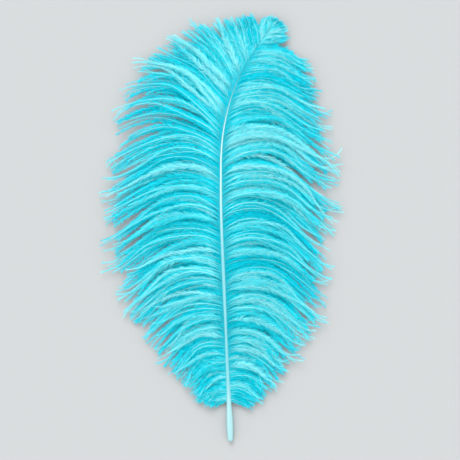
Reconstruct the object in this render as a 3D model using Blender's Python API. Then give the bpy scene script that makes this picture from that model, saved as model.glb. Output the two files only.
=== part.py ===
"""A large ostrich plume that lies on a flat surface, with its quill towards -Y and its tip towards +Y.

Metres, +Z up. The origin is the middle of the plume's footprint, on the surface that it rests on.
The shaft (bare quill and tapering rachis) is one solid. Each vane is one closed solid that stands for
its comb of soft barbs and reaches their tips. From the bowed shaft the barbs arch down to the surface,
and their outer part lies flat on it.
"""

import math

import bmesh
import bpy
import numpy as np

# Driving dimensions of the shaft
SHAFT_LENGTH = 0.3025  # along its curve, from the cut end of the quill to the root of the last barb
QUILL_LENGTH = 0.028  # bare quill below the first barb
BOW_HEIGHT = 0.0115  # how far the middle of the shaft is lifted by its bow
LEAN_DEG = 2.4  # the lower half leans this far towards -X
SWEEP_DEG = 44.0  # the tip curves this far towards +X
LEAN_ENDS = (0.46, 0.61)  # shares of the shaft's length between which the lean fades out
SWEEP_START = 0.635  # share of the shaft's length where the sweep begins
SWEEP_POWER = 1.15

# Shaft radius at shares of its length: the quill swells above its cut end, the rachis tapers
QUILL_RADIUS = 0.0023
RADII = (
    (0.000, 0.0017),
    (0.035, QUILL_RADIUS),
    (0.060, 0.0022),
    (0.090, 0.0017),
    (0.130, 0.00145),
    (0.400, 0.00122),
    (0.600, 0.00080),
    (0.750, 0.00046),
    (1.000, 0.00015),
)
END_ROUNDING = 0.0014  # how far the cut end of the quill is rounded, along the shaft
LEAST_ROUNDING = 0.3  # the cut end's flat middle, as a share of the radius there
QUILL_LIFT = 0.0002  # the quill lies this far above the surface, because the vanes carry the plume

# Barbs at shares of the vane's length, from its foot to the tip:
# (share, barb length in mm, angle to the shaft at the root, angle to the shaft at the tip), in degrees
LEFT_BARBS = (
    (0.00, 16, 92, 116),
    (0.04, 27, 76, 130),
    (0.10, 41, 65, 134),
    (0.20, 63, 60, 132),
    (0.35, 84, 56, 126),
    (0.50, 90, 50, 122),
    (0.60, 92, 47, 120),
    (0.66, 89, 47, 104),
    (0.71, 80, 50, 86),
    (0.77, 70, 57, 72),
    (0.82, 58, 52, 62),
    (0.87, 41, 42, 48),
    (0.91, 29, 42, 46),
    (0.945, 20, 46, 50),
    (0.97, 14, 26, 16),
    (1.00, 6, 8, 4),
)
RIGHT_BARBS = (
    (0.00, 16, 90, 120),
    (0.04, 29, 76, 130),
    (0.10, 43, 65, 132),
    (0.20, 66, 60, 136),
    (0.35, 83, 56, 132),
    (0.50, 88, 50, 130),
    (0.65, 90, 46, 120),
    (0.75, 79, 40, 106),
    (0.84, 62, 39, 90),
    (0.90, 45, 40, 82),
    (0.93, 35, 36, 70),
    (0.965, 19, 24, 40),
    (1.00, 7, 8, 18),
)
DROOP_POWER = 2.2  # a barb does most of its turning near its root

# The vanes as solids
GAP = 0.0003  # between a vane and the shaft
DOWN_DEPTH = 0.0034  # a vane's thickness beside the shaft
EDGE_DEPTH = 0.0016  # a vane's thickness at its outer fringe
DEPTH_SWELL = 0.0007  # how much thicker the fluff is halfway out
VANE_STATIONS = 48
VANE_COLUMNS = 12
TOUCHDOWN = 7 / VANE_COLUMNS  # share of a barb's length where it comes down to the surface

# Resolution of the shaft
SHAFT_POINTS = 56
END_POINTS = 5
SHAFT_BEVEL_RESOLUTION = 4
INTEGRATION_STEPS = 600

SHAFT_COLOUR = (0.48, 0.88, 0.93, 1.0)
BARB_COLOUR = (0.05, 0.66, 0.80, 1.0)
LEFT, RIGHT = -1, 1


def smooth_step(x):
    """0 below 0, 1 above 1, and a smooth rise between."""
    x = np.clip(x, 0.0, 1.0)
    return x * x * (3.0 - 2.0 * x)


def from_stations(table, share, column):
    """A column of a station table at a share of the length, on a smooth curve through its rows.

    Between two rows the curve changes smoothly from one row's tangent line to the next one's.
    """
    rows = np.array(table, float)
    at, values = rows[:, 0], rows[:, column]
    slopes = np.gradient(values, at)
    low = int(np.clip(np.searchsorted(at, share) - 1, 0, len(at) - 2))
    before, after = (values[i] + slopes[i] * (share - at[i]) for i in (low, low + 1))
    return before + (after - before) * smooth_step((share - at[low]) / (at[low + 1] - at[low]))


def heading(share):
    """The shaft's direction in plan, in radians clockwise from +Y, at a share of its length."""
    fade = (share - LEAN_ENDS[0]) / (LEAN_ENDS[1] - LEAN_ENDS[0])
    lean = -LEAN_DEG * (1.0 - smooth_step(fade))
    sweep = SWEEP_DEG * np.clip((share - SWEEP_START) / (1.0 - SWEEP_START), 0.0, 1.0) ** SWEEP_POWER
    return np.radians(lean + sweep)


def walk(headings, step):
    """Plan points of a line that starts at 0, 0 and takes one step along each heading."""
    x = np.concatenate(([0.0], np.cumsum(np.sin(headings)))) * step
    y = np.concatenate(([0.0], np.cumsum(np.cos(headings)))) * step
    return x, y


def shaft_point(share):
    """The shaft's centre at a share of its length, with the quill's cut end at x = y = 0."""
    steps = np.linspace(0.0, 1.0, INTEGRATION_STEPS + 1)
    middles = (steps[1:] + steps[:-1]) / 2.0
    x, y = walk(heading(middles), SHAFT_LENGTH / INTEGRATION_STEPS)
    height = QUILL_LIFT + QUILL_RADIUS + BOW_HEIGHT * np.sin(math.pi * share) ** 2
    return np.array([np.interp(share, steps, x), np.interp(share, steps, y), height])


def shaft_radius(share):
    """The shaft's radius at a share of its length, with the cut end rounded off."""
    along = min(share * SHAFT_LENGTH / END_ROUNDING, 1.0)
    rounding = math.sqrt(1.0 - (1.0 - along) ** 2)
    return from_stations(RADII, share, 1) * max(rounding, LEAST_ROUNDING)


def shaft_shares():
    """Shares of the length at which the shaft is modelled, close together at its rounded end."""
    rounded = END_ROUNDING / SHAFT_LENGTH
    end = [rounded * (1.0 - math.cos(math.pi / 2.0 * i / END_POINTS)) for i in range(END_POINTS)]
    return end + list(np.linspace(rounded, 1.0, SHAFT_POINTS))


def barb_path(side, table, share):
    """Plan points along one barb, from its root beside the shaft to its tip.

    The barb starts at its root angle to the shaft and turns towards its tip angle, fast at first.
    """
    along = (QUILL_LENGTH + share * (SHAFT_LENGTH - QUILL_LENGTH)) / SHAFT_LENGTH
    centre, direction = shaft_point(along), heading(along)
    offset = side * (shaft_radius(along) + GAP)
    length = from_stations(table, share, 1) / 1000.0
    root_angle, tip_angle = (from_stations(table, share, column) for column in (2, 3))
    u = (np.arange(VANE_COLUMNS) + 0.5) / VANE_COLUMNS
    turn = 1.0 - (1.0 - u) ** DROOP_POWER
    angles = np.radians(root_angle + (tip_angle - root_angle) * turn)
    x, y = walk(direction + side * angles, length / VANE_COLUMNS)
    root_x = centre[0] + offset * math.cos(direction)
    root_y = centre[1] - offset * math.sin(direction)
    return root_x + x, root_y + y, centre[2]


def vane_underside(root_height, u):
    """Height of the vane's arched underside, from the shaft (u = 0) out to where it is flat."""
    return max(root_height - DOWN_DEPTH, 0.0) * (1.0 - smooth_step(u / TOUCHDOWN))


def vane_depth(root_height, u):
    """Thickness of the vane, from the shaft (u = 0) out to the fringe (u = 1)."""
    root_depth = min(DOWN_DEPTH, root_height)
    return root_depth + (EDGE_DEPTH - root_depth) * u + DEPTH_SWELL * math.sin(math.pi * u)


def make_material(name, colour, roughness):
    """A Principled material of one colour."""
    material = bpy.data.materials.new(name)
    material.use_nodes = True
    shader = material.node_tree.nodes["Principled BSDF"]
    shader.inputs["Base Color"].default_value = colour
    shader.inputs["Roughness"].default_value = roughness
    shader.inputs["Metallic"].default_value = 0.0
    return material


def add_object(name, data, material, collection, parent):
    """Links a new object for this data, with its material, under the plume's empty."""
    data.materials.append(material)
    made = bpy.data.objects.new(name, data)
    made.parent = parent
    collection.objects.link(made)
    return made


def make_shaft(material, collection, parent):
    """The quill and rachis: one tapering rod along the shaft's curve."""
    curve = bpy.data.curves.new("shaft", "CURVE")
    curve.dimensions = "3D"
    curve.bevel_depth = QUILL_RADIUS
    curve.bevel_resolution = SHAFT_BEVEL_RESOLUTION
    curve.use_fill_caps = True
    spline = curve.splines.new("POLY")
    shares = shaft_shares()
    spline.points.add(len(shares) - 1)
    for point, share in zip(spline.points, shares):
        point.co = (*shaft_point(share), 1.0)
        point.radius = shaft_radius(share) / QUILL_RADIUS
    return add_object("shaft", curve, material, collection, parent)


def make_vane(name, side, table, material, collection, parent):
    """One vane: a grid that follows its barbs down to the surface, extruded up by their thickness."""
    bm = bmesh.new()
    bmesh.ops.create_grid(bm, x_segments=VANE_STATIONS, y_segments=VANE_COLUMNS, size=0.5)
    paths = [barb_path(side, table, i / VANE_STATIONS) for i in range(VANE_STATIONS + 1)]
    tops = {}
    for vertex in bm.verts:
        station = round((vertex.co.x + 0.5) * VANE_STATIONS)
        column = round((vertex.co.y + 0.5) * VANE_COLUMNS)
        x, y, root_height = paths[station]
        out = column / VANE_COLUMNS
        vertex.co = (x[column], y[column], vane_underside(root_height, out))
        tops[tuple(vertex.co)] = vertex.co.z + vane_depth(root_height, out)
    raised = bmesh.ops.extrude_face_region(bm, geom=bm.faces[:], use_keep_orig=True)
    for item in raised["geom"]:
        if isinstance(item, bmesh.types.BMVert):
            item.co.z = tops[tuple(item.co)]
    bmesh.ops.recalc_face_normals(bm, faces=bm.faces[:])
    mesh = bpy.data.meshes.new(name)
    bm.to_mesh(mesh)
    bm.free()
    mesh.shade_smooth()
    mesh.set_sharp_from_angle(angle=math.radians(40.0))
    return add_object(name, mesh, material, collection, parent)


def footprint_centre(objects):
    """The middle of the objects' common box in plan."""
    bpy.context.view_layer.update()
    corners = np.array([o.matrix_world @ v.co for o in objects for v in o.to_mesh().vertices])
    return (corners.min(axis=0) + corners.max(axis=0)) / 2.0


def main():
    """Builds the plume and moves its footprint's middle to the origin."""
    for old in list(bpy.data.objects):
        bpy.data.objects.remove(old)
    collection = bpy.data.collections.new("ostrich_feather")
    bpy.context.scene.collection.children.link(collection)
    plume = bpy.data.objects.new("plume", None)
    collection.objects.link(plume)

    keratin = make_material("quill_keratin", SHAFT_COLOUR, 0.35)
    down = make_material("dyed_down", BARB_COLOUR, 0.6)
    parts = [
        make_shaft(keratin, collection, plume),
        make_vane("vane_left", LEFT, LEFT_BARBS, down, collection, plume),
        make_vane("vane_right", RIGHT, RIGHT_BARBS, down, collection, plume),
    ]
    middle = footprint_centre(parts)
    plume.location = (-middle[0], -middle[1], 0.0)


main()
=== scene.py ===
"""The looks of a large dyed ostrich plume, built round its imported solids.

The plume lies with its shaft side up: quill towards -Y, tip towards +Y, origin in the middle of its
footprint on the surface. Everything is in metres. Each vane is a comb of separate barbs that gather
into locks, and every barb carries two rows of barbules. Each barb and each barbule is a closed shape.

In the names of sizes, ends are where a change begins and is complete. A spread is how much groups of
barbs differ, and as a pair it is first that of locks, then that of strands. A jitter is how much single
hairs differ, and a share is part of a whole, from 0 to 1.
"""

from __future__ import annotations

import logging
import math
from dataclasses import dataclass, field
from enum import Enum
from typing import Any

import bpy
import numpy as np
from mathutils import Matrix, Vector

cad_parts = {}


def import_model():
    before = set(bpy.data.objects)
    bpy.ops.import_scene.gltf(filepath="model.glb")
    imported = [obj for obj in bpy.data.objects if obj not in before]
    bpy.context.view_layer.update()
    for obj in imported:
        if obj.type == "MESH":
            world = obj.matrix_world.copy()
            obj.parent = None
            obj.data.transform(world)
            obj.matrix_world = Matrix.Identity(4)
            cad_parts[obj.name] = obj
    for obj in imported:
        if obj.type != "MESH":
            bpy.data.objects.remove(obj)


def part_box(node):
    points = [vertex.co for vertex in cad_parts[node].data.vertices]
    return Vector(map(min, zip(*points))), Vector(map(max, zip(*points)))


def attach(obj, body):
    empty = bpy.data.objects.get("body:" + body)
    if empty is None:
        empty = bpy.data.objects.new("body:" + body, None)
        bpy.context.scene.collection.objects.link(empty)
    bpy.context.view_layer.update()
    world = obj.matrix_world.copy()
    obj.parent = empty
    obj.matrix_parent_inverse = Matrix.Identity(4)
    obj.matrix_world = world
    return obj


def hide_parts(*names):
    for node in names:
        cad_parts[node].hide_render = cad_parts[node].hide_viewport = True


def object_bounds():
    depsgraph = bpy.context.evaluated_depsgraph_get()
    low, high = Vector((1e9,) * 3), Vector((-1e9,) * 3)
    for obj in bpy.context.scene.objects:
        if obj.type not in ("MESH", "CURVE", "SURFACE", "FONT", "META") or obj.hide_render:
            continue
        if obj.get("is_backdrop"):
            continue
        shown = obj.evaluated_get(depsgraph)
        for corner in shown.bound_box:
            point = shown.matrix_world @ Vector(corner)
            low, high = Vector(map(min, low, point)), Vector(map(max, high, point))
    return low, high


LOG = logging.getLogger("ostrich_plume")
MM = 0.001
BODY = "root"
BAKE_MAP = "OFBake"
UP = (0.0, 0.0, 1.0)
SHORTEST = 1e-12  # keeps a vector of no length from being divided by 0
MIX_SHARE, MIX_FIRST, MIX_SECOND, MIX_RESULT = 0, 6, 7, 2  # a Mix node's sockets for colours

Array = np.ndarray
Pair = tuple[float, float]
Colour = tuple[float, float, float]
Table = tuple[tuple[float, ...], ...]


class Side(Enum):
    """The side of the shaft that a vane grows on, as the sign of its direction along +X."""

    LEFT = -1
    RIGHT = 1


def smooth_step(x: Array | float) -> Array:
    """Rises from 0 at x = 0 to 1 at x = 1 as 3x^2 - 2x^3, and stays level outside."""
    x = np.clip(x, 0.0, 1.0)
    return x * x * (3.0 - 2.0 * x)


def rising(x: Array | float, start: float, end: float = 1.0) -> Array:
    """Rises smoothly from 0 at the start to 1 at the end."""
    return smooth_step((x - start) / (end - start))


def unit(vectors: Array) -> Array:
    """The same directions with length 1."""
    return vectors / np.maximum(np.linalg.norm(vectors, axis=-1, keepdims=True), SHORTEST)


def read_table(rows: Table, share: Array, column: int) -> Array:
    """Reads a column of a station table on a smooth curve through its rows.

    Each row has a tangent line with the slope of its neighbours, and between two rows the value
    goes from the first tangent line to the second by a smooth step.

    Args:
        rows: The stations, each starting with its share of the length.
        share: Where to read, from 0 to 1.
        column: The column to read.

    Returns:
        The values at those shares.
    """
    table = np.array(rows, float)
    at, values = table[:, 0], table[:, column]
    slopes = np.gradient(values, at)
    low = np.clip(np.searchsorted(at, share) - 1, 0, len(at) - 2)
    before = values[low] + slopes[low] * (share - at[low])
    after = values[low + 1] + slopes[low + 1] * (share - at[low + 1])
    return before + (after - before) * smooth_step((share - at[low]) / (at[low + 1] - at[low]))


@dataclass
class TriangleSoup:
    """Closed shapes collected as arrays, to become one mesh.

    Attributes:
        points: Vertex places.
        faces: Triples of vertex numbers, counter-clockwise from outside.
        places: One place on the bake map for each vertex.
        nap: Where the fluff as a whole faces at each vertex, for fine shapes that shade as one.
    """

    points: Array = field(default_factory=lambda: np.zeros((0, 3)))
    faces: Array = field(default_factory=lambda: np.zeros((0, 3), np.int64))
    places: Array = field(default_factory=lambda: np.zeros((0, 2)))
    nap: Array = field(default_factory=lambda: np.zeros((0, 3)))

    def add(self, points: Array, faces: Array, places: Array, nap: Array) -> None:
        """Appends shapes, renumbering their faces.

        Args:
            points: Their vertex places.
            faces: Triples of numbers among those.
            places: Their places on the bake map.
            nap: Where the fluff faces at each.
        """
        self.faces = np.concatenate((self.faces, faces + len(self.points)))
        self.points = np.concatenate((self.points, points))
        self.places = np.concatenate((self.places, places))
        self.nap = np.concatenate((self.nap, nap))

    def _corner_normals(self, softness: float) -> Array:
        """Shading directions for each face's corners.

        Each is the face's own normal mixed with the nap, which is turned to the face's side.

        Args:
            softness: The nap's share of the mix.

        Returns:
            One direction for each corner, face after face.
        """
        corners = self.points[self.faces]
        flat = unit(np.cross(corners[:, 1] - corners[:, 0], corners[:, 2] - corners[:, 0]))[:, None, :]
        nap = self.nap[self.faces]
        facing = (flat * nap.mean(axis=1, keepdims=True)).sum(axis=2, keepdims=True)
        turned = nap * np.where(facing < 0.0, -1.0, 1.0)
        return unit((1.0 - softness) * flat + softness * turned).reshape(-1, 3)

    def build(
        self, name: str, material: bpy.types.Material, softness: float = 0.0
    ) -> bpy.types.Object:
        """Makes a smooth-shaded object of the collected shapes.

        Args:
            name: The piece's name.
            material: Its finish.
            softness: How much the nap takes over the shading, from 0 to 1.

        Returns:
            The new object, at the origin.
        """
        mesh = bpy.data.meshes.new(name)
        mesh.vertices.add(len(self.points))
        mesh.vertices.foreach_set("co", self.points.astype(np.float32).ravel())
        mesh.loops.add(self.faces.size)
        mesh.loops.foreach_set("vertex_index", self.faces.astype(np.int32).ravel())
        mesh.polygons.add(len(self.faces))
        starts = np.arange(0, self.faces.size, 3, dtype=np.int32)
        mesh.polygons.foreach_set("loop_start", starts)
        mesh.update(calc_edges=True)
        layer = mesh.uv_layers.new(name=BAKE_MAP)
        corners = self.places[self.faces.ravel()].astype(np.float32)
        layer.uv.foreach_set("vector", corners.ravel())
        mesh.shade_smooth()
        if softness > 0.0:
            mesh.normals_split_custom_set(self._corner_normals(softness))
        mesh.materials.append(material)
        made = bpy.data.objects.new(name, mesh)
        bpy.context.scene.collection.objects.link(made)
        return made


class Value:
    """A socket that shader expressions are written with."""

    def __init__(self, tree: ShaderTree, socket: bpy.types.NodeSocket) -> None:
        """Wraps an output socket of that tree."""
        self.tree = tree
        self.socket = socket

    def _math(self, operation: str, first: Any, second: Any) -> Value:
        """Adds a Math node for two operands."""
        return self.tree.node("Math", {"operation": operation}, {0: first, 1: second})

    def __add__(self, other: Any) -> Value:
        """Adds a value."""
        return self._math("ADD", self, other)

    __radd__ = __add__

    def __sub__(self, other: Any) -> Value:
        """Subtracts a value."""
        return self._math("SUBTRACT", self, other)

    def __rsub__(self, other: Any) -> Value:
        """Subtracts this from a value."""
        return self._math("SUBTRACT", other, self)

    def __mul__(self, other: Any) -> Value:
        """Multiplies by a value."""
        return self._math("MULTIPLY", self, other)

    __rmul__ = __mul__


class ShaderTree:
    """A new material's node tree, with its Principled shader."""

    def __init__(self, name: str) -> None:
        """Starts a material of that name."""
        self.material = bpy.data.materials.new(name)
        self.material.use_nodes = True
        self.nodes = self.material.node_tree.nodes
        self.links = self.material.node_tree.links
        self.shader = self.nodes["Principled BSDF"]

    def feed(self, socket: bpy.types.NodeSocket, value: Any) -> None:
        """Links a value to a socket, or sets the socket to a plain number, colour or vector."""
        if isinstance(value, Value):
            self.links.new(value.socket, socket)
        else:
            socket.default_value = value

    def node(
        self,
        kind: str,
        settings: dict[str, Any] | None = None,
        sockets: dict[int | str, Any] | None = None,
        output: int | str = 0,
    ) -> Value:
        """Adds any node.

        Args:
            kind: Its type, without the ShaderNode prefix.
            settings: Its own settings, set first. stops are (place, colour) pairs of a colour ramp.
            sockets: Values or links for its inputs, by number or name.
            output: Which output to give back.

        Returns:
            The output, ready for expressions.
        """
        made = self.nodes.new("ShaderNode" + kind)
        for key, setting in (settings or {}).items():
            if key == "stops":
                self._set_stops(made.color_ramp, setting)
            else:
                setattr(made, key, setting)
        for key, value in (sockets or {}).items():
            self.feed(made.inputs[key], value)
        return Value(self, made.outputs[output])

    @staticmethod
    def _set_stops(ramp: bpy.types.ColorRamp, stops: list[tuple[float, Colour]]) -> None:
        """Gives a colour ramp these stops."""
        while len(ramp.elements) < len(stops):
            ramp.elements.new(1.0)
        for element, (place, colour) in zip(ramp.elements, stops):
            element.position = place
            element.color = (*colour, 1.0)

    def mix(self, share: Any, first: Any, second: Any) -> Value:
        """Mixes two colours by a share from 0 to 1."""
        sockets = {MIX_SHARE: share, MIX_FIRST: first, MIX_SECOND: second}
        return self.node("Mix", {"data_type": "RGBA"}, sockets, MIX_RESULT)

    def ramp(self, value: Value, stops: list[tuple[float, Colour]]) -> Value:
        """The colour of a ramp at a value."""
        return self.node("ValToRGB", {"stops": stops}, {0: value})

    def fade(self, value: Value, ends: Pair, first: float, last: float) -> Value:
        """Goes smoothly from one number to another.

        Args:
            value: What it depends on.
            ends: The value where the change begins, and where it is complete.
            first: The number before it.
            last: The number after it.

        Returns:
            The number at the value.
        """
        names = ("Value", "From Min", "From Max", "To Min", "To Max")
        sockets = dict(zip(names, (value, *ends, first, last)))
        return self.node("MapRange", {"interpolation_type": "SMOOTHSTEP"}, sockets)

    def bake_place(self) -> tuple[Value, Value]:
        """The place on the bake map, as its two axes."""
        place = self.node("UVMap", {"uv_map": BAKE_MAP})
        first, second = (self.node("SeparateXYZ", {}, {0: place}, axis) for axis in ("X", "Y"))
        return first, second

    def noise(self, first: Value, second: Value, scales: Pair, detail: float) -> Value:
        """Noise on two coordinates, each at its own scale.

        Args:
            first: The first coordinate.
            second: The second.
            scales: How fine the noise is along each.
            detail: How many finer layers it has.

        Returns:
            A value about 0.5.
        """
        vector = self.node("CombineXYZ", {}, {"X": first * scales[0], "Y": second * scales[1]})
        return self.node("TexNoise", {}, {"Vector": vector, "Scale": 1.0, "Detail": detail})

    def finish(self, **inputs: Any) -> bpy.types.Material:
        """Feeds the Principled shader, with underscores for the spaces of its socket names."""
        for key, value in inputs.items():
            self.feed(self.shader.inputs[key.replace("_", " ")], value)
        return self.material


@dataclass(frozen=True)
class DownFinish:
    """Dyed barbs and barbules: silky turquoise that took the dye unevenly.

    The bake map's first axis holds a barb's tone, from deep to pale, and its second axis runs
    from the shaft out to the fringe. The tone holds the dye, and also painted highlight and painted
    shade from how the barbs lie. Near the shaft the colour fades into a painted shade, for the
    valley where the barbs meet the shaft.
    """

    name: str = "dyed_down"
    deep: Colour = (0.0, 0.62, 0.78)
    middle: Colour = (0.015, 0.79, 0.90)
    pale: Colour = (0.36, 0.93, 0.97)
    # painted shade: the colour that the barbs darken to by the shaft, in the valley beside it
    painted_root_shade: Colour = (0.0, 0.55, 0.68)
    painted_shade_ends: Pair = (0.008, 0.095)
    painted_shade_strength: float = 0.8
    streak_scales: Pair = (60.0, 4.0)
    streak_detail: float = 3.0
    streak_depth: float = 0.8
    roughness: Pair = (0.42, 0.2)  # the least, and what the streaks add
    specular: float = 0.02

    def material(self) -> bpy.types.Material:
        """Makes the material."""
        tree = ShaderTree(self.name)
        tone, out = tree.bake_place()
        streaks = tree.noise(tone, out, self.streak_scales, self.streak_detail)
        stops = [(0.0, self.deep), (0.5, self.middle), (1.0, self.pale)]
        dyed = tree.ramp(tone + (streaks - 0.5) * self.streak_depth, stops)
        # painted shade by the shaft, which fades out along the barbs
        painted_shade_share = tree.fade(out, self.painted_shade_ends, self.painted_shade_strength, 0.0)
        return tree.finish(
            Base_Color=tree.mix(painted_shade_share, dyed, (*self.painted_root_shade, 1.0)),
            Roughness=self.roughness[0] + self.roughness[1] * streaks,
            Specular_IOR_Level=self.specular,
        )


@dataclass(frozen=True)
class KeratinFinish:
    """The quill and rachis: pale horn that the dye tinted, with fine lines along its length.

    The bake map's first axis runs round the shaft from its underside, and its second axis from
    the quill's cut end to the tip. The thin upper rachis is paler, partly its own colour and partly a
    painted highlight, and the tip is dark, a painted shade where it lies between the barbs.
    """

    name: str = "quill_keratin"
    quill: Colour = (0.36, 0.64, 0.67)
    rachis: Colour = (0.22, 0.58, 0.64)
    # partly its own paler colour, partly a painted highlight
    thin: Colour = (0.66, 0.80, 0.80)
    # painted shade: the shaft darkened towards the tip, where it lies between the barbs
    tip: Colour = (0.02, 0.46, 0.56)
    deep_tint: Colour = (0.04, 0.48, 0.57)
    line_scales: Pair = (26.0, 7.0)
    line_detail: float = 4.0
    line_ends: Pair = (0.42, 0.7)
    line_strength: float = 0.3
    patch_scales: Pair = (3.0, 40.0)
    patch_detail: float = 2.0
    flank_ends: Pair = (0.14, 0.27)
    flank_strength: float = 0.65
    bump: Pair = (0.25, 0.0002)  # strength and height
    roughness: Pair = (0.24, 0.24)  # the least, and what the lines add
    specular: float = 0.55
    coat: float = 0.15
    coat_roughness: float = 0.2

    def material(self) -> bpy.types.Material:
        """Makes the material."""
        tree = ShaderTree(self.name)
        around, along = tree.bake_place()
        stops = [
            (0.0, self.quill),
            (0.09, self.quill),
            (0.14, self.rachis),
            (0.45, self.rachis),
            # paler upper rachis, partly a painted highlight
            (0.65, self.thin),
            (0.74, self.thin),
            # painted shade at the tip
            (0.88, self.tip),
            (1.0, self.tip),
        ]
        deep_tint = (*self.deep_tint, 1.0)
        lines = tree.noise(around, along, self.line_scales, self.line_detail)
        patches = tree.noise(around, along, self.patch_scales, self.patch_detail)
        # the flanks and underside darken in patches towards the deep tint
        from_top = tree.node("Math", {"operation": "ABSOLUTE"}, {0: around - 0.5})
        flank = tree.fade(from_top, self.flank_ends, 0.0, self.flank_strength)
        flank_tinted = tree.mix(flank * (0.5 + patches), tree.ramp(along, stops), deep_tint)
        lined = tree.fade(lines, self.line_ends, 0.0, self.line_strength)
        strength, height = self.bump
        sockets = {"Strength": strength, "Distance": height, "Height": lines}
        return tree.finish(
            Base_Color=tree.mix(lined, flank_tinted, deep_tint),
            Roughness=self.roughness[0] + self.roughness[1] * lines,
            Normal=tree.node("Bump", {}, sockets),
            Specular_IOR_Level=self.specular,
            Coat_Weight=self.coat,
            Coat_Roughness=self.coat_roughness,
        )


@dataclass(frozen=True)
class FloorFinish:
    """A plain pale matt floor."""

    name: str = "pale_floor"
    colour: Colour = (0.46, 0.475, 0.482)
    roughness: float = 0.85

    def material(self) -> bpy.types.Material:
        """Makes the material."""
        return ShaderTree(self.name).finish(Base_Color=(*self.colour, 1.0), Roughness=self.roughness)


@dataclass
class ShaftLine:
    """The line of the shaft, which the quill, rachis and barbs all follow.

    Attributes:
        corner: The lowest x and y of the shaft's solid, in the frame.
        length: Along its curve, from the cut end of the quill to the last barb's root.
        quill_length: Bare quill below the first barb.
        lift: How far the quill lies above the surface.
        bow: How far the middle of the shaft is lifted.
        lean_deg: How far the lower half leans towards -X.
        sweep_deg: How far the tip curves towards +X.
        radii: The radius at shares of the length.
    """

    corner: Array
    length: float = 0.3025
    quill_length: float = 0.028
    quill_radius: float = 0.0023
    lift: float = 0.0002
    bow: float = 0.0115
    lean_deg: float = 2.4
    sweep_deg: float = 44.0
    lean_ends: Pair = (0.46, 0.61)
    sweep_start: float = 0.635
    sweep_power: float = 1.15
    radii: Table = (
        (0.000, 0.0017),
        (0.035, 0.0023),
        (0.060, 0.0022),
        (0.090, 0.0017),
        (0.130, 0.00145),
        (0.400, 0.00122),
        (0.600, 0.00080),
        (0.750, 0.00046),
        (1.000, 0.00015),
    )
    steps: int = 600

    def __post_init__(self) -> None:
        """Walks the line once, and moves it to where the shaft's solid is."""
        self._shares = np.linspace(0.0, 1.0, self.steps + 1)
        middles = (self._shares[1:] + self._shares[:-1]) / 2.0
        turned = self.heading(middles)
        step = self.length / self.steps
        x = np.concatenate(([0.0], np.cumsum(np.sin(turned)))) * step
        y = np.concatenate(([0.0], np.cumsum(np.cos(turned)))) * step
        x += self.corner[0] - (x - self.radius(self._shares)).min()
        y += self.corner[1]
        self._plan = np.stack((x, y), axis=1)

    def heading(self, share: Array) -> Array:
        """Direction in plan at a share of the length, in radians clockwise from +Y."""
        fade = (share - self.lean_ends[0]) / (self.lean_ends[1] - self.lean_ends[0])
        lean = -self.lean_deg * (1.0 - smooth_step(fade))
        late = np.clip((share - self.sweep_start) / (1.0 - self.sweep_start), 0.0, 1.0)
        return np.radians(lean + self.sweep_deg * late**self.sweep_power)

    def radius(self, share: Array) -> Array:
        """Radius at a share of the length, not rounded at the cut end."""
        return read_table(self.radii, share, 1)

    def centre(self, share: Array) -> Array:
        """Centre points at shares of the length, in the frame."""
        plan = [np.interp(share, self._shares, self._plan[:, axis]) for axis in (0, 1)]
        height = self.lift + self.quill_radius + self.bow * np.sin(math.pi * share) ** 2
        return np.stack((*plan, height), axis=-1)

    def along_vane(self, share: Array) -> Array:
        """The share of the shaft's length for a share of the vane's length."""
        return (self.quill_length + share * (self.length - self.quill_length)) / self.length


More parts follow.
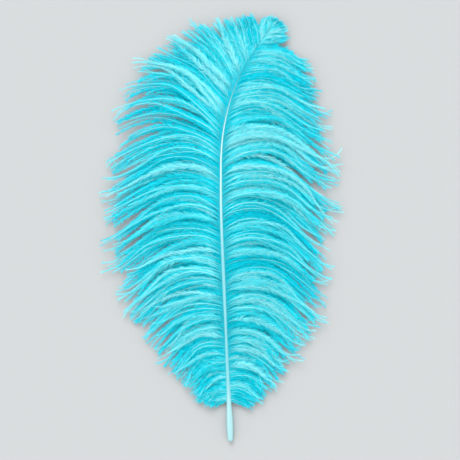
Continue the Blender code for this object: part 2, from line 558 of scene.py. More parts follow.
@dataclass
class QuillShaft:
    """The quill and rachis: one horn rod, round at the quill and grooved under the rachis.

    Attributes:
        end_rounding: How far the cut end is rounded, along the shaft.
        groove_depth: The groove under the rachis, as a share of its radius.
        groove_width: The groove's half width, in radians round the shaft.
        hollows: Shallow hollows round the rachis, which square it off a little.
        hollow_depth: Their depth, as a share of its radius.
    """

    line: ShaftLine
    rings: int = 150
    sides: int = 40
    end_rings: int = 9
    end_rounding: float = 0.0014
    groove_depth: float = 0.42
    groove_width: float = 0.5
    hollows: int = 4
    hollow_depth: float = 0.05
    rachis_ends: Pair = (0.06, 0.12)

    def _shares(self) -> Array:
        """Ring places: a quarter-circle's spacing over the cut end, then even steps."""
        rounded = self.end_rounding / self.line.length
        quarter = np.linspace(0.0, math.pi / 2.0, self.end_rings, endpoint=False)
        return np.concatenate((rounded * (1.0 - np.cos(quarter)), np.linspace(rounded, 1.0, self.rings)))

    def _section(self, around: Array, rachis: Array) -> Array:
        """Radius of the cross-section, as a share of the shaft's.

        A circle, less a bell-shaped groove at the underside and a cosine's dips between the top,
        the flanks and the underside, all of which fade in from the quill to the rachis.

        Args:
            around: Angles round the shaft from its underside.
            rachis: 0 on the quill, 1 on the rachis, one row for each ring.

        Returns:
            One radius for each ring and angle.
        """
        from_below = np.abs((around + math.pi) % (2.0 * math.pi) - math.pi)
        groove = self.groove_depth * np.exp(-((from_below / self.groove_width) ** 2))
        dips = self.hollow_depth * (0.5 - np.cos(self.hollows * around) * 0.5)
        return 1.0 - (dips + groove)[None, :] * rachis[:, None]

    def build(self, material: bpy.types.Material) -> bpy.types.Object:
        """Makes the shaft's mesh and lets it stand for the shaft's solid.

        A point is the ring's centre, plus the section's radius along the ring's side and up axes.

        Args:
            material: The horn finish.

        Returns:
            The finished piece.
        """
        shares = self._shares()
        centres = self.line.centre(shares)
        tangents = unit(np.gradient(centres, shares, axis=0))
        sideways = unit(np.cross(tangents, UP))
        upward = np.cross(sideways, tangents)
        along = np.minimum(shares * self.line.length / self.end_rounding, 1.0)
        rounding = np.sqrt(np.clip(1.0 - (1.0 - along) ** 2, 0.0, 1.0))
        around = np.linspace(0.0, 2.0 * math.pi, self.sides + 1)
        rachis = rising(shares, *self.rachis_ends)
        radii = (self.line.radius(shares) * rounding)[:, None] * self._section(around, rachis)
        directions = (
            -np.cos(around)[None, :, None] * upward[:, None, :]
            + np.sin(around)[None, :, None] * sideways[:, None, :]
        )
        points = centres[:, None, :] + radii[..., None] * directions
        turns = around[None, :] / (2.0 * math.pi)
        places = np.stack(np.broadcast_arrays(turns, shares[:, None]), axis=-1)
        made = self._closed(points, places).build("quill_and_rachis", material)
        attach(made, BODY)
        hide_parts("shaft")
        LOG.info("%s: %d triangles", made.name, len(made.data.polygons))
        return made

    @staticmethod
    def _closed(points: Array, places: Array) -> TriangleSoup:
        """Joins a grid of rings into triangles, with a fan over the last ring.

        The first ring is a single point repeated, so its triangles close the cut end.

        Args:
            points: One row of points for each ring, whose last point is its first again.
            places: Their places on the bake map.

        Returns:
            The closed shape.
        """
        rings, sides = points.shape[:2]
        number = np.arange(rings * sides).reshape(rings, sides)
        a, b = number[:-1, :-1].ravel(), number[:-1, 1:].ravel()
        c, d = number[1:, 1:].ravel(), number[1:, :-1].ravel()
        faces = np.concatenate((np.stack((a, b, c), 1), np.stack((a, c, d), 1)))
        last = number[-1, :-1]
        fan = np.stack((np.full(sides - 3, last[0]), last[1:-1], last[2:]), 1)
        soup = TriangleSoup()
        points = points.reshape(-1, 3)
        soup.add(points, np.concatenate((faces, fan)), places.reshape(-1, 2), np.zeros_like(points))
        return soup


def mean_of(values: Array, groups: Array) -> Array:
    """For each row, the mean of its group's rows: the group's sum over its count.

    Args:
        values: The rows.
        groups: Their group numbers, in order, so that a group's rows are neighbours.

    Returns:
        The means, one for each row.
    """
    starts = np.flatnonzero(np.diff(groups, prepend=-1))
    sizes = np.diff(np.append(starts, len(groups)))
    sums = np.add.reduceat(values, starts, axis=0)
    means = sums / sizes.reshape(-1, *([1] * (values.ndim - 1)))
    return np.repeat(means, sizes, axis=0)


class Draws(np.random.Generator):
    """Seeded random draws, some of which whole groups of neighbours share."""

    def __init__(self, seed: int) -> None:
        """Starts the draws."""
        super().__init__(np.random.PCG64(seed))

    def groups(self, count: int, sizes: tuple[int, int]) -> Array:
        """Group numbers that put neighbours together, in groups of random size."""
        drawn = self.integers(sizes[0], sizes[1] + 1, count)
        return np.repeat(np.arange(count), drawn)[:count]

    def spread(self, groups: Array) -> Array:
        """One number from -1 to 1 for each group, given to all its members."""
        return self.uniform(-1.0, 1.0, groups.max() + 1)[groups]

    def spreads(self, scales: Pair, roots: Roots) -> Array:
        """The sum of a spread for locks and one for strands, each times its scale."""
        by_lock = scales[0] * self.spread(roots.locks)
        return by_lock + scales[1] * self.spread(roots.strands)


@dataclass
class Roots:
    """The roots of one vane's barbs as arrays, from the quill to the tip.

    Attributes:
        share: Share of the vane's length.
        strands: Number of the barb's strand.
        locks: Number of the barb's lock.
        across: Place across the lock, from -1 to 1.
        under: Whether the barb lies in the layer underneath.
        downy: 1 in the downy zone by the quill, and 0 past it.
        stray: 1 for a barb that strays from its strand, else 0.
    """

    share: Array
    strands: Array
    locks: Array
    across: Array
    under: Array
    downy: Array
    stray: Array


@dataclass(frozen=True)
class Comb:
    """Where the barbs of a vane grow, how long they are and which neighbours stick together.

    Attributes:
        stations: Share of the vane's length, barb length in mm, and the barb's angle to the shaft
            at its root and at its tip, in degrees.
        lobe: The stations of the lobe at the tip, which parts from the rest at the parting.
        under_every: One barb in so many lies in a layer underneath.
    """

    stations: Table
    lobe: Table
    parting: float
    barbs: int = 440
    crowding: float = 0.9
    crowding_start: float = 0.62
    downy_crowding: float = 0.9
    downy_crowding_end: float = 0.2
    grid: int = 400
    strand_sizes: tuple[int, int] = (3, 7)
    lock_sizes: tuple[int, int] = (1, 3)
    under_every: int = 2
    under_length: float = 0.845
    over_length: float = 1.05
    length_spread: Pair = (0.04, 0.07)
    downy_ends: Pair = (0.1, 0.35)
    shortening: float = 0.2
    downy_shortening: float = 0.3
    shortening_power: float = 1.5

    def station(self, share: Array, column: int) -> Array:
        """Reads the stations, and past the parting the lobe's own."""
        values = read_table(self.stations, share, column)
        return np.where(share > self.parting, read_table(self.lobe, share, column), values)

    def _shares(self) -> Array:
        """Shares of the vane's length where barbs grow, closer together towards both ends."""
        grid = np.linspace(0.0, 1.0, self.grid)
        crowd = rising(grid, self.crowding_start)
        downy = 1.0 - rising(grid, 0.0, self.downy_crowding_end)
        running = np.cumsum(1.0 + self.crowding * crowd + self.downy_crowding * downy)
        places = (np.arange(self.barbs) + 0.5) / self.barbs
        return np.interp(places, (running - running[0]) / (running[-1] - running[0]), grid)

    def roots(self, draws: Draws) -> Roots:
        """Spaces the roots and puts neighbours together in strands and locks.

        Args:
            draws: The vane's random draws.

        Returns:
            The roots, in order.
        """
        share = self._shares()
        past_parting = (share > self.parting).astype(int)
        strands = draws.groups(self.barbs, self.strand_sizes) + past_parting
        locks = draws.groups(strands.max() + 1, self.lock_sizes)[strands] + past_parting
        number = np.arange(self.barbs)
        from_middle = number - mean_of(number.astype(float), locks)
        across = from_middle / (mean_of(np.abs(from_middle), locks) * 2.0 + 0.5)
        under = number % self.under_every == 1
        downy = 1.0 - rising(share, *self.downy_ends)
        return Roots(share, strands, locks, across, under, downy, np.zeros(self.barbs))

    def lengths(self, draws: Draws, roots: Roots) -> Array:
        """Each barb's length: the stations' length, varied by lock, strand and barb.

        Args:
            draws: The vane's random draws.
            roots: Its roots.

        Returns:
            The lengths.
        """
        varied = np.where(roots.under, 0.0, 1.0) * draws.spreads(self.length_spread, roots)
        length = self.station(roots.share, 1) * MM * (self.over_length + varied)
        most = self.shortening + self.downy_shortening * roots.downy
        length = length * (1.0 - most * draws.random(self.barbs) ** self.shortening_power)
        return np.where(roots.under, self.under_length * length, length)


@dataclass(frozen=True)
class Bend:
    """How a barb turns from its root angle to its tip angle. Angles are in degrees.

    A barb of limp_length or more takes its waves, flick and curl in full, and a very short one only
    the share called stiffness. Barbs past the late_ends turn as far as late_droop says in their last
    part, and the others mostly by the shaft.
    """

    late_droop: float = 0.0
    late_ends: Pair = (0.6, 0.72)
    late_power: float = 2.3
    droop_power: float = 2.0
    root_jitter: float = 2.5
    tip_spread: Pair = (2.5, 3.5)
    downy_jitter: float = 9.0
    stiffness: float = 0.3
    limp_length: float = 0.05
    wave: float = 6.0
    wave_pace: Pair = (5.0, 12.0)
    flick: float = -5.0
    flick_spread: Pair = (5.0, 9.0)
    flick_start: float = 0.65
    curl: float = -6.0
    curl_spread: float = 20.0
    curl_jitter: float = 22.0
    curl_start: float = 0.78
    stray_share: float = 0.1
    stray_turn: float = 24.0
    stray_start: float = 0.2

    def angles(self, draws: Draws, comb: Comb, roots: Roots, length: Array, u: Array) -> Array:
        """Each barb's angle to the shaft along its length.

        It goes from the root angle to the tip angle as 1 - (1 - u)^droop, or for the upper barbs
        as u^late, plus a sine wave, the flick, the curl and the turn of a stray, which each start
        at their own share of the barb and rise by a smooth step.

        Args:
            draws: The vane's random draws.
            comb: Where its barbs grow.
            roots: Its roots, which are told here which barbs stray.
            length: Its barbs' lengths.
            u: Shares of a barb's length.

        Returns:
            The angles, one row for each barb.
        """
        n = len(length)
        root_angle = comb.station(roots.share, 2) + draws.normal(0.0, self.root_jitter, n)
        supple = self.stiffness + (1.0 - self.stiffness) * smooth_step(length / self.limp_length)
        supple = np.where(roots.under, 0.0, 1.0) * supple
        tip_angle = comb.station(roots.share, 3) + draws.spreads(self.tip_spread, roots) * supple
        tip_angle = tip_angle + draws.normal(0.0, self.downy_jitter, n) * roots.downy
        roots.stray = (draws.random(n) < self.stray_share).astype(float)
        stray_turn = roots.stray * draws.uniform(-self.stray_turn, self.stray_turn, n)

        early = 1.0 - (1.0 - u[None, :]) ** self.droop_power
        late = self.late_droop * rising(roots.share, *self.late_ends)[:, None]
        turn = early + (u[None, :] ** self.late_power - early) * late
        angles = root_angle[:, None] + (tip_angle - root_angle)[:, None] * turn
        phase = draws.uniform(0.0, 2.0 * math.pi, (n, 1))
        pace = draws.uniform(*self.wave_pace, (n, 1))
        angles = angles + self.wave * supple[:, None] * np.sin(phase + pace * u[None, :])
        flick = self.flick + draws.spreads(self.flick_spread, roots)
        angles = angles + (flick * supple)[:, None] * rising(u, self.flick_start)
        curl = self.curl + self.curl_spread * draws.spread(roots.strands)
        curl = curl + draws.normal(0.0, self.curl_jitter, n)
        angles = angles + (curl * supple)[:, None] * rising(u, self.curl_start)
        return angles + stray_turn[:, None] * rising(u, self.stray_start)


@dataclass(frozen=True)
class Gathering:
    """How barbs gather in plan, as shares of the way to their group's mean path."""

    lock_pull: float = 0.28
    lock_start: float = 0.2
    strand_pull: float = 0.74
    strand_ends: Pair = (0.4, 0.8)
    splay: float = 0.45
    splay_start: float = 0.8
    downy_looseness: float = 0.45

    def gather(self, plan: Array, roots: Roots, out: Array) -> Array:
        """Moves each point towards the mean path of its lock, and then of its strand.

        Args:
            plan: Points along each barb, in plan.
            roots: The vane's roots.
            out: Shares of a barb's length, one for each point.

        Returns:
            The gathered points.
        """
        free = np.where(roots.under, 0.0, 1.0 - roots.stray)
        loose = (free * (1.0 - self.downy_looseness * roots.downy))[:, None, None]
        lock_pull = self.lock_pull * rising(out, self.lock_start)[None, :, None] * loose
        held = rising(out, *self.strand_ends) * (1.0 - self.splay * rising(out, self.splay_start))
        strand_pull = self.strand_pull * held[None, :, None] * loose
        plan = plan + lock_pull * (mean_of(plan, roots.locks) - plan)
        return plan + strand_pull * (mean_of(plan, roots.strands) - plan)


@dataclass(frozen=True)
class Layers:
    """How high the barbs lie over the surface.

    A barb comes down to the edge_height at its touchdown, and bulges up by the swell on its way.
    What is left of the swell and of the locks' roundness where the shaft lies lowest is called
    level_swell and level_roll. A higher roll_power moves the roundness away from the shaft.
    """

    touchdown: float = 0.62
    edge_height: float = 0.0021
    swell: float = 0.0014
    level_swell: float = 0.4
    roll_power: float = 0.7
    level_roll: float = 0.35
    lock_height: float = 0.0026
    lock_sink: float = 0.0012
    spread: Pair = (0.0014, 0.0008)
    jitter: Pair = (-0.0024, 0.0008)
    stray_lift: float = 0.0018
    under_depth: float = 0.0022
    tip_lift: float = 0.003
    tip_lift_start: float = 0.6
    clearance: float = 0.0006

    def offsets(self, draws: Draws, roots: Roots) -> Array:
        """How far each barb lies above or below the middle of the fluff.

        Args:
            draws: The vane's random draws.
            roots: Its roots.

        Returns:
            One height for each barb.
        """
        offset = self.lock_height * (1.0 - roots.across**2) - self.lock_sink
        offset = offset + draws.spreads(self.spread, roots)
        offset = offset + draws.uniform(*self.jitter, len(offset)) + self.stray_lift * roots.stray
        return np.where(roots.under, -self.under_depth, offset)

    def heights(
        self, draws: Draws, roots: Roots, offset: Array, start: Array, bowed: Array, out: Array
    ) -> Array:
        """Heights along each barb.

        They come down from the shaft to the fringe by a smooth step, plus a sine's half wave for
        the swell, another for the barb's own offset, and the lift of the strand's tips.

        Args:
            draws: The vane's random draws.
            roots: Its roots.
            offset: How far each barb lies above or below the middle of the fluff.
            start: The shaft's height at each root.
            bowed: That height as a share of the highest.
            out: Shares of a barb's length, one for each point.

        Returns:
            The heights, one row for each barb.
        """
        slope = 1.0 - rising(out, 0.0, self.touchdown)[None, :]
        level = self.level_swell + (1.0 - self.level_swell) * bowed[:, None]
        swell = self.swell * np.sin(math.pi * out)[None, :] * level
        height = self.edge_height + (start[:, None] - self.edge_height) * slope + swell
        level = self.level_roll + (1.0 - self.level_roll) * bowed[:, None]
        height = height + offset[:, None] * np.sin(math.pi * out**self.roll_power)[None, :] * level
        lifted = self.tip_lift * np.abs(draws.spread(roots.strands))
        height = height + lifted[:, None] * rising(out, self.tip_lift_start)[None, :]
        return np.maximum(height, self.clearance)


@dataclass(frozen=True)
class DyeAndPaintedLight:
    """How pale each barb is, from 0 to 1: how it took the dye, with painted highlight and painted shade.

    A lock is darker on its side towards the tip, by a painted shade. A barb that lies as high over the
    middle of the fluff as the lower layer lies under it is paler, by a painted highlight where it
    rises into the light. The layer underneath is darker, by a painted shade for the barbs above it.
    """

    middle: float = 0.47
    spread: Pair = (0.1, 0.16)
    jitter: float = 0.28
    stray_paleness: float = 0.12
    # painted shade on the tipward side of each lock
    painted_lock_shade: float = 0.08
    # painted highlight on barbs that lie high in the fluff
    painted_crest_highlight: float = 0.2
    # painted shade on the layer underneath
    painted_under_shade: float = 0.3
    ends: Pair = (0.02, 0.98)

    def tones(self, draws: Draws, roots: Roots, crest: Array) -> Array:
        """Each barb's tone.

        Args:
            draws: The vane's random draws.
            roots: Its roots.
            crest: Each barb's height over the middle of the fluff, in depths of the lower layer.

        Returns:
            The tones.
        """
        tone = self.middle + draws.spreads(self.spread, roots)
        tone = tone + draws.uniform(-self.jitter, self.jitter, len(tone))
        # painted shade on one side of each lock
        tone = tone + self.stray_paleness * roots.stray - self.painted_lock_shade * roots.across
        # painted shade on the lower layer, and painted highlight on barbs that lie high
        tone = np.where(roots.under, tone - self.painted_under_shade, tone + self.painted_crest_highlight * crest)
        return np.clip(tone, *self.ends)


@dataclass
class BarbPaths:
    """The barbs of one vane as arrays.

    Attributes:
        points: Points along each barb, from root to tip.
        tone: How pale each barb is, from 0 to 1: its dye, with painted highlight and painted shade.
        fluff: Each barb's share of the usual barbule length.
        length: Each barb's length.
        under: Whether each barb lies in the layer underneath.
    """

    points: Array
    tone: Array
    fluff: Array
    length: Array
    under: Array

    def axes(self) -> tuple[Array, Array, Array]:
        """Tangent, sideways and upward directions at each point."""
        tangents = unit(np.gradient(self.points, axis=1))
        sideways = unit(np.cross(tangents, UP))
        return tangents, sideways, np.cross(sideways, tangents)


@dataclass(frozen=True)
class DownMap:
    """How the down lies on the bake map.

    The second axis is the distance from the shaft over the reach. Short barbs start up to the
    shade_width further out, past the painted shade by the shaft that a barb of the shaded_length
    starts in. The tone changes by edge_tone over half a hair's width, so that no face has an empty
    place on the map.
    """

    reach: float = 0.115
    shade_width: float = 0.011
    shaded_length: float = 0.055
    edge_tone: float = 0.012

    def out(self, distance: Array, length: Array) -> Array:
        """The second axis at a distance along barbs of a length."""
        past_shade = self.shade_width * (1.0 - rising(length, 0.0, self.shaded_length))
        return (distance + past_shade) / self.reach


DOWN_MAP = DownMap()


@dataclass(frozen=True)
class Rami:
    """The barbs' own shafts.

    A very short barb has the share of the radius called thinness, and one of the stout_length all of
    it. A share of them is paler than their barbules, by a painted highlight along the rami.
    """

    radius: float = 0.00025
    tip_radius: float = 0.0001
    thinness: float = 0.55
    stout_length: float = 0.06
    taper_power: float = 0.8
    lift: float = 0.0005
    corners: tuple[float, float, float] = (90.0, 210.0, 330.0)
    # share of rami that get the painted highlight
    highlight_share: float = 0.6
    # painted highlight: how much paler those rami are
    painted_highlight: float = 0.6
    ends: Pair = (0.05, 0.95)
    roundness: float = 0.85

    def build(self, draws: Draws, paths: BarbPaths, chosen: Array) -> TriangleSoup:
        """Three-sided tapering rods along the barbs, closed at both ends.

        A point is the barb's point, lifted, plus the radius times cos and sin of the corner's
        angle along the barb's sideways and upward directions.

        Args:
            draws: The vane's random draws.
            paths: The vane's barbs.
            chosen: Which barbs to build.

        Returns:
            Their triangles.
        """
        points, length = paths.points[chosen], paths.length[chosen]
        _, sideways, upward = (axis[chosen] for axis in paths.axes())
        count, rings = points.shape[:2]
        out = np.linspace(0.0, 1.0, rings)
        stout = self.thinness + (1.0 - self.thinness) * smooth_step(length / self.stout_length)
        thick = self.radius * stout[:, None]
        radius = thick + (self.tip_radius - thick) * out**self.taper_power
        corner = np.radians(self.corners)
        ring = (
            np.cos(corner)[None, None, :, None] * sideways[:, :, None, :]
            + np.sin(corner)[None, None, :, None] * upward[:, :, None, :]
        )
        solid = (points + self.lift * upward)[:, :, None, :] + radius[:, :, None, None] * ring
        number = np.arange(count * rings * len(corner)).reshape(count, rings, len(corner))
        following = np.roll(number, -1, axis=2)
        a, b = number[:, :-1].reshape(-1), following[:, :-1].reshape(-1)
        c, d = following[:, 1:].reshape(-1), number[:, 1:].reshape(-1)
        sides = (np.stack((a, c, b), 1), np.stack((a, d, c), 1))
        faces = np.concatenate((*sides, number[:, 0], number[:, -1, ::-1]))

        # painted highlight: some rami are paler, for the gloss of the barbs' shafts
        shown = draws.random(len(paths.length))[chosen] < self.highlight_share
        tone = np.clip(paths.tone[chosen] + self.painted_highlight * shown, *self.ends)
        across = DOWN_MAP.edge_tone * np.array((-1.0, 0.0, 1.0))
        distance = DOWN_MAP.out(out[None, :] * length[:, None], length[:, None])
        on_map = np.broadcast_arrays(tone[:, None, None] + across, distance[:, :, None])
        nap = unit(upward[:, :, None, :] + self.roundness * ring)
        soup = TriangleSoup()
        soup.add(solid.reshape(-1, 3), faces, np.stack(on_map, -1).reshape(-1, 2), nap.reshape(-1, 3))
        return soup


@dataclass
class Spikes:
    """The barbules' places as arrays.

    Attributes:
        barb: Number of the barb that each grows on.
        u: Share of the barb's length.
        row: 1 for the row on one side of the barb, -1 for the other.
        tuft: Number of the tuft.
    """

    barb: Array
    u: Array
    row: Array
    tuft: Array


@dataclass(frozen=True)
class Barbules:
    """The thin spikes in two rows along each barb.

    A spike leans forward along its barb, out to one side, and a little up or down. Each short
    stretch of a row is a tuft: its spikes share a lean, a lift and a tone, and their tips gather.
    Angles are in degrees.

    The combed share of a barb lies by the shaft, where spikes are short and lean less. They are
    shorter again by the ending, along the ending_ends, and on barbs so short that the short_share
    plus the barb's length over the short_scale is under 1. The layer underneath has fewer and wider
    spikes. The belly is where a spike is widest.
    """

    pitch: float = 0.00036
    under_pitch: float = 1.7
    fewest: int = 8
    last: float = 0.997
    tuft_length: float = 0.0024
    most_tufts: int = 200
    length: float = 0.0054
    combed_share: float = 0.1
    combed_length: float = 0.25
    ending: float = 0.68
    under_ending: float = 0.45
    ending_ends: Pair = (0.4, 0.95)
    short_share: float = 0.6
    short_scale: float = 0.07
    length_spread: float = 0.14
    length_range: Pair = (0.65, 1.1)
    lean: float = 34.0
    lean_spread: float = 8.0
    lean_jitter: float = 9.0
    combed_lean: float = 0.7
    tilt_spread: float = 22.0
    tilt_jitter: float = 26.0
    gathering: Pair = (0.1, 0.5)
    gather_ends: Pair = (0.6, 0.9)
    gather_loss: float = 0.7
    clearance: float = 0.0003
    width: float = 0.00026
    under_width: float = 2.3
    width_range: Pair = (0.7, 1.3)
    thin_share: float = 0.4
    roll_jitter: float = 35.0
    belly: float = 0.42
    belly_lift: float = 0.3
    roundness: float = 0.85
    tone_spread: float = 0.08
    tone_jitter: float = 0.12
    # painted highlight at each barbule's base, along the strand's core
    painted_core_highlight: float = 0.24
    # painted shade at each barbule's tip, out in the gaps between strands
    painted_gap_shade: float = 0.32
    map_steps: Pair = (0.012, 0.03)
    ends: Pair = (0.02, 0.98)
    map_ends: Pair = (0.001, 0.999)

    def _spaced(self, draws: Draws, paths: BarbPaths, chosen: Array) -> Spikes:
        """Spaces barbules and groups them in tufts.

        Each lies at a random place in its own even step along the barb, and rows take turns.

        Args:
            draws: The vane's random draws.
            paths: The vane's barbs.
            chosen: Which barbs to build.

        Returns:
            The barbules' places.
        """
        numbers = np.flatnonzero(chosen)
        pitch = self.pitch * np.where(paths.under[numbers], self.under_pitch, 1.0)
        counts = np.maximum((2.0 * paths.length[numbers] / pitch).astype(int), self.fewest)
        barb = np.repeat(numbers, counts)
        rank = np.arange(len(barb)) - np.repeat(np.cumsum(counts) - counts, counts)
        total = np.repeat(counts, counts)
        u = np.clip((rank + draws.random(len(barb))) / total, 0.0, self.last)
        row = np.where(rank % 2 == 0, 1.0, -1.0)
        start = draws.random(len(paths.length))[barb]
        stretch = np.floor(u * paths.length[barb] / self.tuft_length + start).astype(int)
        key = (barb * 2 + (rank % 2)) * self.most_tufts + stretch
        _, tuft = np.unique(key, return_inverse=True)
        return Spikes(barb, u, row, tuft)

    def _tips(
        self, draws: Draws, spikes: Spikes, base: Array, axes: list[Array], length: Array, rise: Array
    ) -> tuple[Array, Array]:
        """Where the barbules end, once the tips of each tuft have gathered.

        Args:
            draws: The vane's random draws.
            spikes: The barbules' places.
            base: Where they start.
            axes: Tangent, sideways and upward directions there.
            length: Their lengths.
            rise: How far their length has risen from the combed zone.

        Returns:
            The tips, and the direction out to the side for each.
        """
        n, tuft = len(length), spikes.tuft
        tangents, sideways, upward = axes
        lean = self.lean + self.lean_spread * draws.spread(tuft) + draws.normal(0.0, self.lean_jitter, n)
        lean = np.radians(lean * (self.combed_lean + (1.0 - self.combed_lean) * rise))
        tilt = self.tilt_spread * draws.spread(tuft) + draws.normal(0.0, self.tilt_jitter, n)
        tilt = np.radians(tilt)
        aside = sideways * (spikes.row * np.cos(tilt))[:, None] + upward * np.sin(tilt)[:, None]
        direction = unit(tangents * np.cos(lean)[:, None] + aside * np.sin(lean)[:, None])
        tip = base + direction * length[:, None]
        members = np.bincount(tuft)
        middle = np.stack([np.bincount(tuft, tip[:, axis]) / members for axis in range(3)], axis=1)
        kept = 1.0 - self.gather_loss * rising(spikes.u, *self.gather_ends)
        gather = draws.uniform(*self.gathering, n) * kept
        tip = tip + gather[:, None] * (middle[tuft] - tip)
        tip[:, 2] = np.maximum(tip[:, 2], self.clearance)
        return tip, aside

    def _places(self, draws: Draws, paths: BarbPaths, spikes: Spikes) -> Array:
        """Places on the bake map for each barbule's corners.

        Args:
            draws: The vane's random draws.
            paths: The vane's barbs.
            spikes: The barbules' places.

        Returns:
            Places for the base, the tip and the two sides of each.
        """
        barb, length = spikes.barb, paths.length[spikes.barb]
        tone = paths.tone[barb] + self.tone_spread * draws.spread(spikes.tuft)
        tone = tone + draws.uniform(-self.tone_jitter, self.tone_jitter, len(barb))
        tone = tone.clip(*self.ends)
        edge = DOWN_MAP.edge_tone
        # painted highlight on the strand cores, painted shade in the gaps between strands
        tones = (tone + self.painted_core_highlight, tone - self.painted_gap_shade, tone - edge, tone + edge)
        base = DOWN_MAP.out(spikes.u * length, length)
        belly, tip = base + self.map_steps[0], base + self.map_steps[1]
        outs = (base, tip, belly, belly)
        return np.stack((np.stack(tones, 1), np.stack(outs, 1)), axis=-1).clip(*self.map_ends)

    def build(self, draws: Draws, paths: BarbPaths, chosen: Array) -> TriangleSoup:
        """Closed four-cornered spikes: a base, a tip and two sides at the belly.

        The length is the usual one times smooth steps for the combed zone by the shaft and for
        the barb's tip. The sides lie half a width either way across the spike.

        Args:
            draws: The vane's random draws.
            paths: The vane's barbs.
            chosen: Which barbs to build.

        Returns:
            Their triangles.
        """
        spikes = self._spaced(draws, paths, chosen)
        barb, u, n = spikes.barb, spikes.u, len(spikes.barb)
        at = u * (paths.points.shape[1] - 1)
        low = at.astype(int)
        part = (at - low)[:, None]
        axes = [axis[barb, low] * (1.0 - part) + axis[barb, low + 1] * part for axis in paths.axes()]
        upward = axes[2]
        base = paths.points[barb, low] * (1.0 - part) + paths.points[barb, low + 1] * part

        rise = self.combed_length + (1.0 - self.combed_length) * rising(u, 0.0, self.combed_share)
        ending = np.where(paths.under[barb], self.under_ending, self.ending)
        fall = 1.0 - ending * rising(u, *self.ending_ends)
        short = np.minimum(1.0, self.short_share + paths.length[barb] / self.short_scale)
        length = self.length * rise * fall * short * paths.fluff[barb]
        length = length * (1.0 + self.length_spread * draws.spread(spikes.tuft))
        length = length * draws.uniform(*self.length_range, n)
        tip, aside = self._tips(draws, spikes, base, axes, length, rise)

        direction = unit(tip - base)
        roll = np.radians(draws.normal(0.0, self.roll_jitter, n))[:, None]
        flat = unit(np.cross(direction, upward))
        normal = np.cross(flat, direction)
        across = flat * np.cos(roll) + normal * np.sin(roll)
        bulge = normal * np.cos(roll) - flat * np.sin(roll)
        thin = self.thin_share + (1.0 - self.thin_share) * fall
        width = self.width * draws.uniform(*self.width_range, n) * thin
        width = (width * np.where(paths.under[barb], self.under_width, 1.0))[:, None]
        belly = base + self.belly * (tip - base) + bulge * width * self.belly_lift
        edge = across * width / 2.0
        points = np.stack((base, tip, belly - edge, belly + edge), axis=1)
        number = np.arange(n * 4).reshape(n, 4)
        corners = ((0, 3, 2), (1, 2, 3), (0, 2, 1), (0, 1, 3))
        faces = np.concatenate([number[:, list(c)] for c in corners])
        places = self._places(draws, paths, spikes)
        outward = unit(upward + self.roundness * aside)
        halfway = unit(upward + self.belly * self.roundness * aside)
        nap = np.stack((upward, outward, halfway, halfway), axis=1)
        soup = TriangleSoup()
        soup.add(points.reshape(-1, 3), faces, places.reshape(-1, 2), nap.reshape(-1, 3))
        return soup


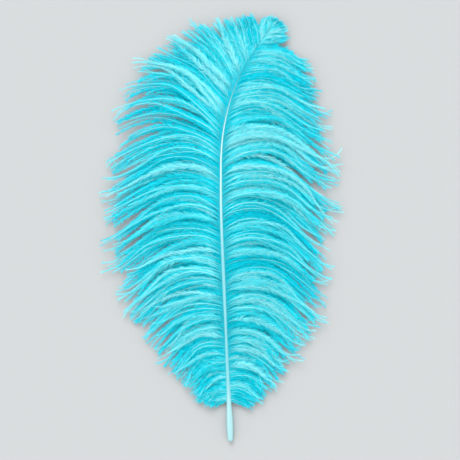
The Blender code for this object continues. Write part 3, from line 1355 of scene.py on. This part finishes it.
@dataclass
class Vane:
    """One comb of barbs along the shaft, with its barbules.

    Neighbouring barbs stick together in strands, whose tips make the spikes of the fringe, and
    neighbouring strands roll together in locks.

    Attributes:
        side: Which side of the shaft it grows on.
        line: The shaft's line.
        node: The solid that it stands for.
        seed: Of its random draws.
        steps: Steps that a barb's path is summed up in, of which a point is kept for each segment.
        softness: How much the fluff shades as a whole.
    """

    side: Side
    line: ShaftLine
    node: str
    comb: Comb
    bend: Bend
    seed: int
    gathering: Gathering = Gathering()
    layers: Layers = Layers()
    # the barbs' tones: their dye, with painted highlight and painted shade
    dye: DyeAndPaintedLight = DyeAndPaintedLight()
    rami: Rami = Rami()
    barbules: Barbules = Barbules()
    steps: int = 48
    segments: int = 16
    root_depth: float = 0.8
    stray_shortening: float = 0.09
    fluff: Pair = (0.75, 1.2)
    softness: float = 0.82
    zones: tuple[str, ...] = ("lower", "middle", "upper")

    def _walk(self, along: Array, angles: Array, length: Array) -> Array:
        """Paths in plan: each barb's running sum of its direction, from the side of the shaft.

        Args:
            along: Share of the shaft's length at each root.
            angles: Angles to the shaft along each barb, in degrees.
            length: The barbs' lengths.

        Returns:
            Points along each barb, in plan.
        """
        directions = self.line.heading(along)[:, None] + self.side.value * np.radians(angles)
        step = length[:, None] / self.steps
        centre, heading = self.line.centre(along), self.line.heading(along)
        offset = self.side.value * self.line.radius(along) * self.root_depth
        start_x = (centre[:, 0] + offset * np.cos(heading))[:, None]
        start_y = (centre[:, 1] - offset * np.sin(heading))[:, None]
        zero = np.zeros((len(along), 1))
        x = np.concatenate((zero, np.cumsum(np.sin(directions) * step, axis=1)), axis=1) + start_x
        y = np.concatenate((zero, np.cumsum(np.cos(directions) * step, axis=1)), axis=1) + start_y
        return np.stack((x, y), axis=2)

    def lay_barbs(self, draws: Draws) -> BarbPaths:
        """Lays every barb of the vane: its length, its path in plan, its height and its tone.

        Args:
            draws: The vane's random draws.

        Returns:
            The barbs, as arrays.
        """
        comb = self.comb
        roots = comb.roots(draws)
        length = comb.lengths(draws, roots)
        u = (np.arange(self.steps) + 0.5) / self.steps
        angles = self.bend.angles(draws, comb, roots, length, u)
        length = length * (1.0 - self.stray_shortening * roots.stray)
        along = self.line.along_vane(roots.share)
        out = np.linspace(0.0, 1.0, self.steps + 1)
        plan = self.gathering.gather(self._walk(along, angles, length), roots, out)

        start = self.line.centre(along)[:, 2]
        bowed = start / (self.line.quill_radius + self.line.bow)
        offset = self.layers.offsets(draws, roots)
        height = self.layers.heights(draws, roots, offset, start, bowed, out)
        points = np.concatenate((plan, height[..., None]), axis=2)[:, :: self.steps // self.segments]
        tone = self.dye.tones(draws, roots, offset / self.layers.under_depth)
        fluff = draws.uniform(*self.fluff, comb.barbs)
        return BarbPaths(points, tone, fluff, length, roots.under)

    def build(self, material: bpy.types.Material) -> list[bpy.types.Object]:
        """Makes the vane in zones of equal barb length, which stand for its solid.

        Args:
            material: The down finish.

        Returns:
            One piece for each zone.
        """
        draws = Draws(self.seed)
        paths = self.lay_barbs(draws)
        running = np.cumsum(paths.length) / paths.length.sum()
        zone_of = np.minimum((running * len(self.zones)).astype(int), len(self.zones) - 1)
        made = []
        for number, zone in enumerate(self.zones):
            chosen = zone_of == number
            soup = self.rami.build(draws, paths, chosen)
            spikes = self.barbules.build(draws, paths, chosen)
            soup.add(spikes.points, spikes.faces, spikes.places, spikes.nap)
            piece = soup.build(f"{self.node}_{zone}_barbs", material, self.softness)
            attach(piece, BODY)
            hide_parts(self.node)
            LOG.info("%s: %d barbs, %d triangles", piece.name, chosen.sum(), len(soup.faces))
            made.append(piece)
        return made


LEFT_STATIONS = (
    (0.00, 15, 92, 118),
    (0.04, 27, 76, 134),
    (0.10, 41, 65, 138),
    (0.20, 65, 60, 136),
    (0.35, 87, 56, 131),
    (0.50, 93, 50, 127),
    (0.60, 94, 47, 124),
    (0.66, 93, 47, 132),
    (0.71, 87, 50, 138),
    (0.77, 71, 57, 98),
    (0.82, 56, 53, 82),
    (0.87, 38, 44, 62),
    (0.91, 29, 42, 54),
    (0.95, 18, 50, 58),
    (1.00, 8, 50, 58),
)
LEFT_LOBE = (
    (0.94, 20, 44, 2),
    (0.97, 14, 30, -2),
    (1.00, 5, 8, 2),
)
RIGHT_STATIONS = (
    (0.00, 15, 90, 124),
    (0.04, 29, 76, 138),
    (0.10, 44, 65, 143),
    (0.20, 69, 60, 144),
    (0.35, 87, 56, 141),
    (0.50, 94, 50, 138),
    (0.65, 95, 46, 129),
    (0.75, 83, 40, 115),
    (0.90, 47, 40, 92),
    (1.00, 24, 38, 86),
)
RIGHT_LOBE = (
    (0.92, 22, 32, 64),
    (0.965, 17, 24, 44),
    (1.00, 6, 8, 20),
)


@dataclass(frozen=True)
class Lamp:
    """A distant soft light.

    Attributes:
        name: Its name.
        place: The direction that it shines from.
        spread_deg: How wide it looks from the plume.
        power: Its strength.
    """

    name: str
    place: tuple[float, float, float]
    spread_deg: float
    power: float

    def build(self) -> None:
        """Adds it, turned so that it shines from its place to the plume."""
        light = bpy.data.lights.new(self.name, "SUN")
        light.angle = math.radians(self.spread_deg)
        light.energy = self.power
        lamp = bpy.data.objects.new(self.name, light)
        lamp.location = self.place
        lamp.rotation_mode = "QUATERNION"
        lamp.rotation_quaternion = lamp.location.normalized().to_track_quat("Z", "Y")
        bpy.context.scene.collection.objects.link(lamp)


@dataclass
class Studio:
    """The floor, the soft lights and the camera that looks straight down."""

    low: Array
    high: Array
    frame_width: float = 0.322
    look_at: Pair = (0.0078, -0.0028)
    lens: float = 100.0
    sensor: float = 36.0
    floor_size: float = 20.0
    floor_gap: float = 0.0002
    lamps: tuple[Lamp, ...] = (
        Lamp("key", (-0.2, 1.1, 1.0), spread_deg=36.0, power=1.95),
        Lamp("fill_left", (-1.2, -0.2, 0.8), spread_deg=45.0, power=0.35),
        Lamp("fill_right", (1.2, -0.2, 0.8), spread_deg=45.0, power=0.35),
    )
    world_light: float = 0.95

    def floor(self) -> None:
        """A plain pale square under the plume."""
        size = self.floor_size
        corners = [(-size, -size, 0.0), (size, -size, 0.0), (size, size, 0.0), (-size, size, 0.0)]
        mesh = bpy.data.meshes.new("floor")
        mesh.from_pydata(corners, [], [(0, 1, 2, 3)])
        mesh.materials.append(FloorFinish().material())
        floor = bpy.data.objects.new("floor", mesh)
        floor.location.z = -self.floor_gap
        bpy.context.scene.collection.objects.link(floor)
        floor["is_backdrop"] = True

    def world(self) -> None:
        """An even white world, which fills the shadows."""
        world = bpy.data.worlds.new("studio")
        world.use_nodes = True
        background = world.node_tree.nodes["Background"]
        background.inputs["Color"].default_value = (1.0, 1.0, 1.0, 1.0)
        background.inputs["Strength"].default_value = self.world_light
        bpy.context.scene.world = world

    def camera(self) -> None:
        """A long lens straight above the plume, with the tip at the top of the picture."""
        data = bpy.data.cameras.new("camera")
        data.lens = self.lens
        data.sensor_width = self.sensor
        camera = bpy.data.objects.new("camera", data)
        height = self.frame_width * self.lens / self.sensor + self.high[2] / 2.0
        middle = (self.low + self.high) / 2.0
        camera.location = (middle[0] + self.look_at[0], middle[1] + self.look_at[1], height)
        bpy.context.scene.collection.objects.link(camera)
        bpy.context.scene.camera = camera

    def build(self) -> None:
        """Sets the whole stage."""
        self.floor()
        for lamp in self.lamps:
            lamp.build()
        self.world()
        self.camera()
        bpy.context.scene.view_settings.view_transform = "Standard"


def main() -> None:
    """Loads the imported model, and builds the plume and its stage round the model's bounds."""
    logging.basicConfig(level=logging.INFO, format="%(name)s %(message)s")
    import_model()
    packed_low, packed_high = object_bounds()
    line = ShaftLine(corner=np.array(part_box("shaft")[0]))
    Studio(np.array(packed_low), np.array(packed_high)).build()

    QuillShaft(line).build(KeratinFinish().material())
    down = DownFinish().material()
    Vane(
        side=Side.LEFT,
        line=line,
        node="vane_left",
        comb=Comb(LEFT_STATIONS, LEFT_LOBE, parting=0.947),
        bend=Bend(late_droop=1.0),
        seed=11,
    ).build(down)
    Vane(
        side=Side.RIGHT,
        line=line,
        node="vane_right",
        comb=Comb(RIGHT_STATIONS, RIGHT_LOBE, parting=0.932),
        bend=Bend(flick=-26.0),
        seed=23,
    ).build(down)


if __name__ == "__main__":
    main()
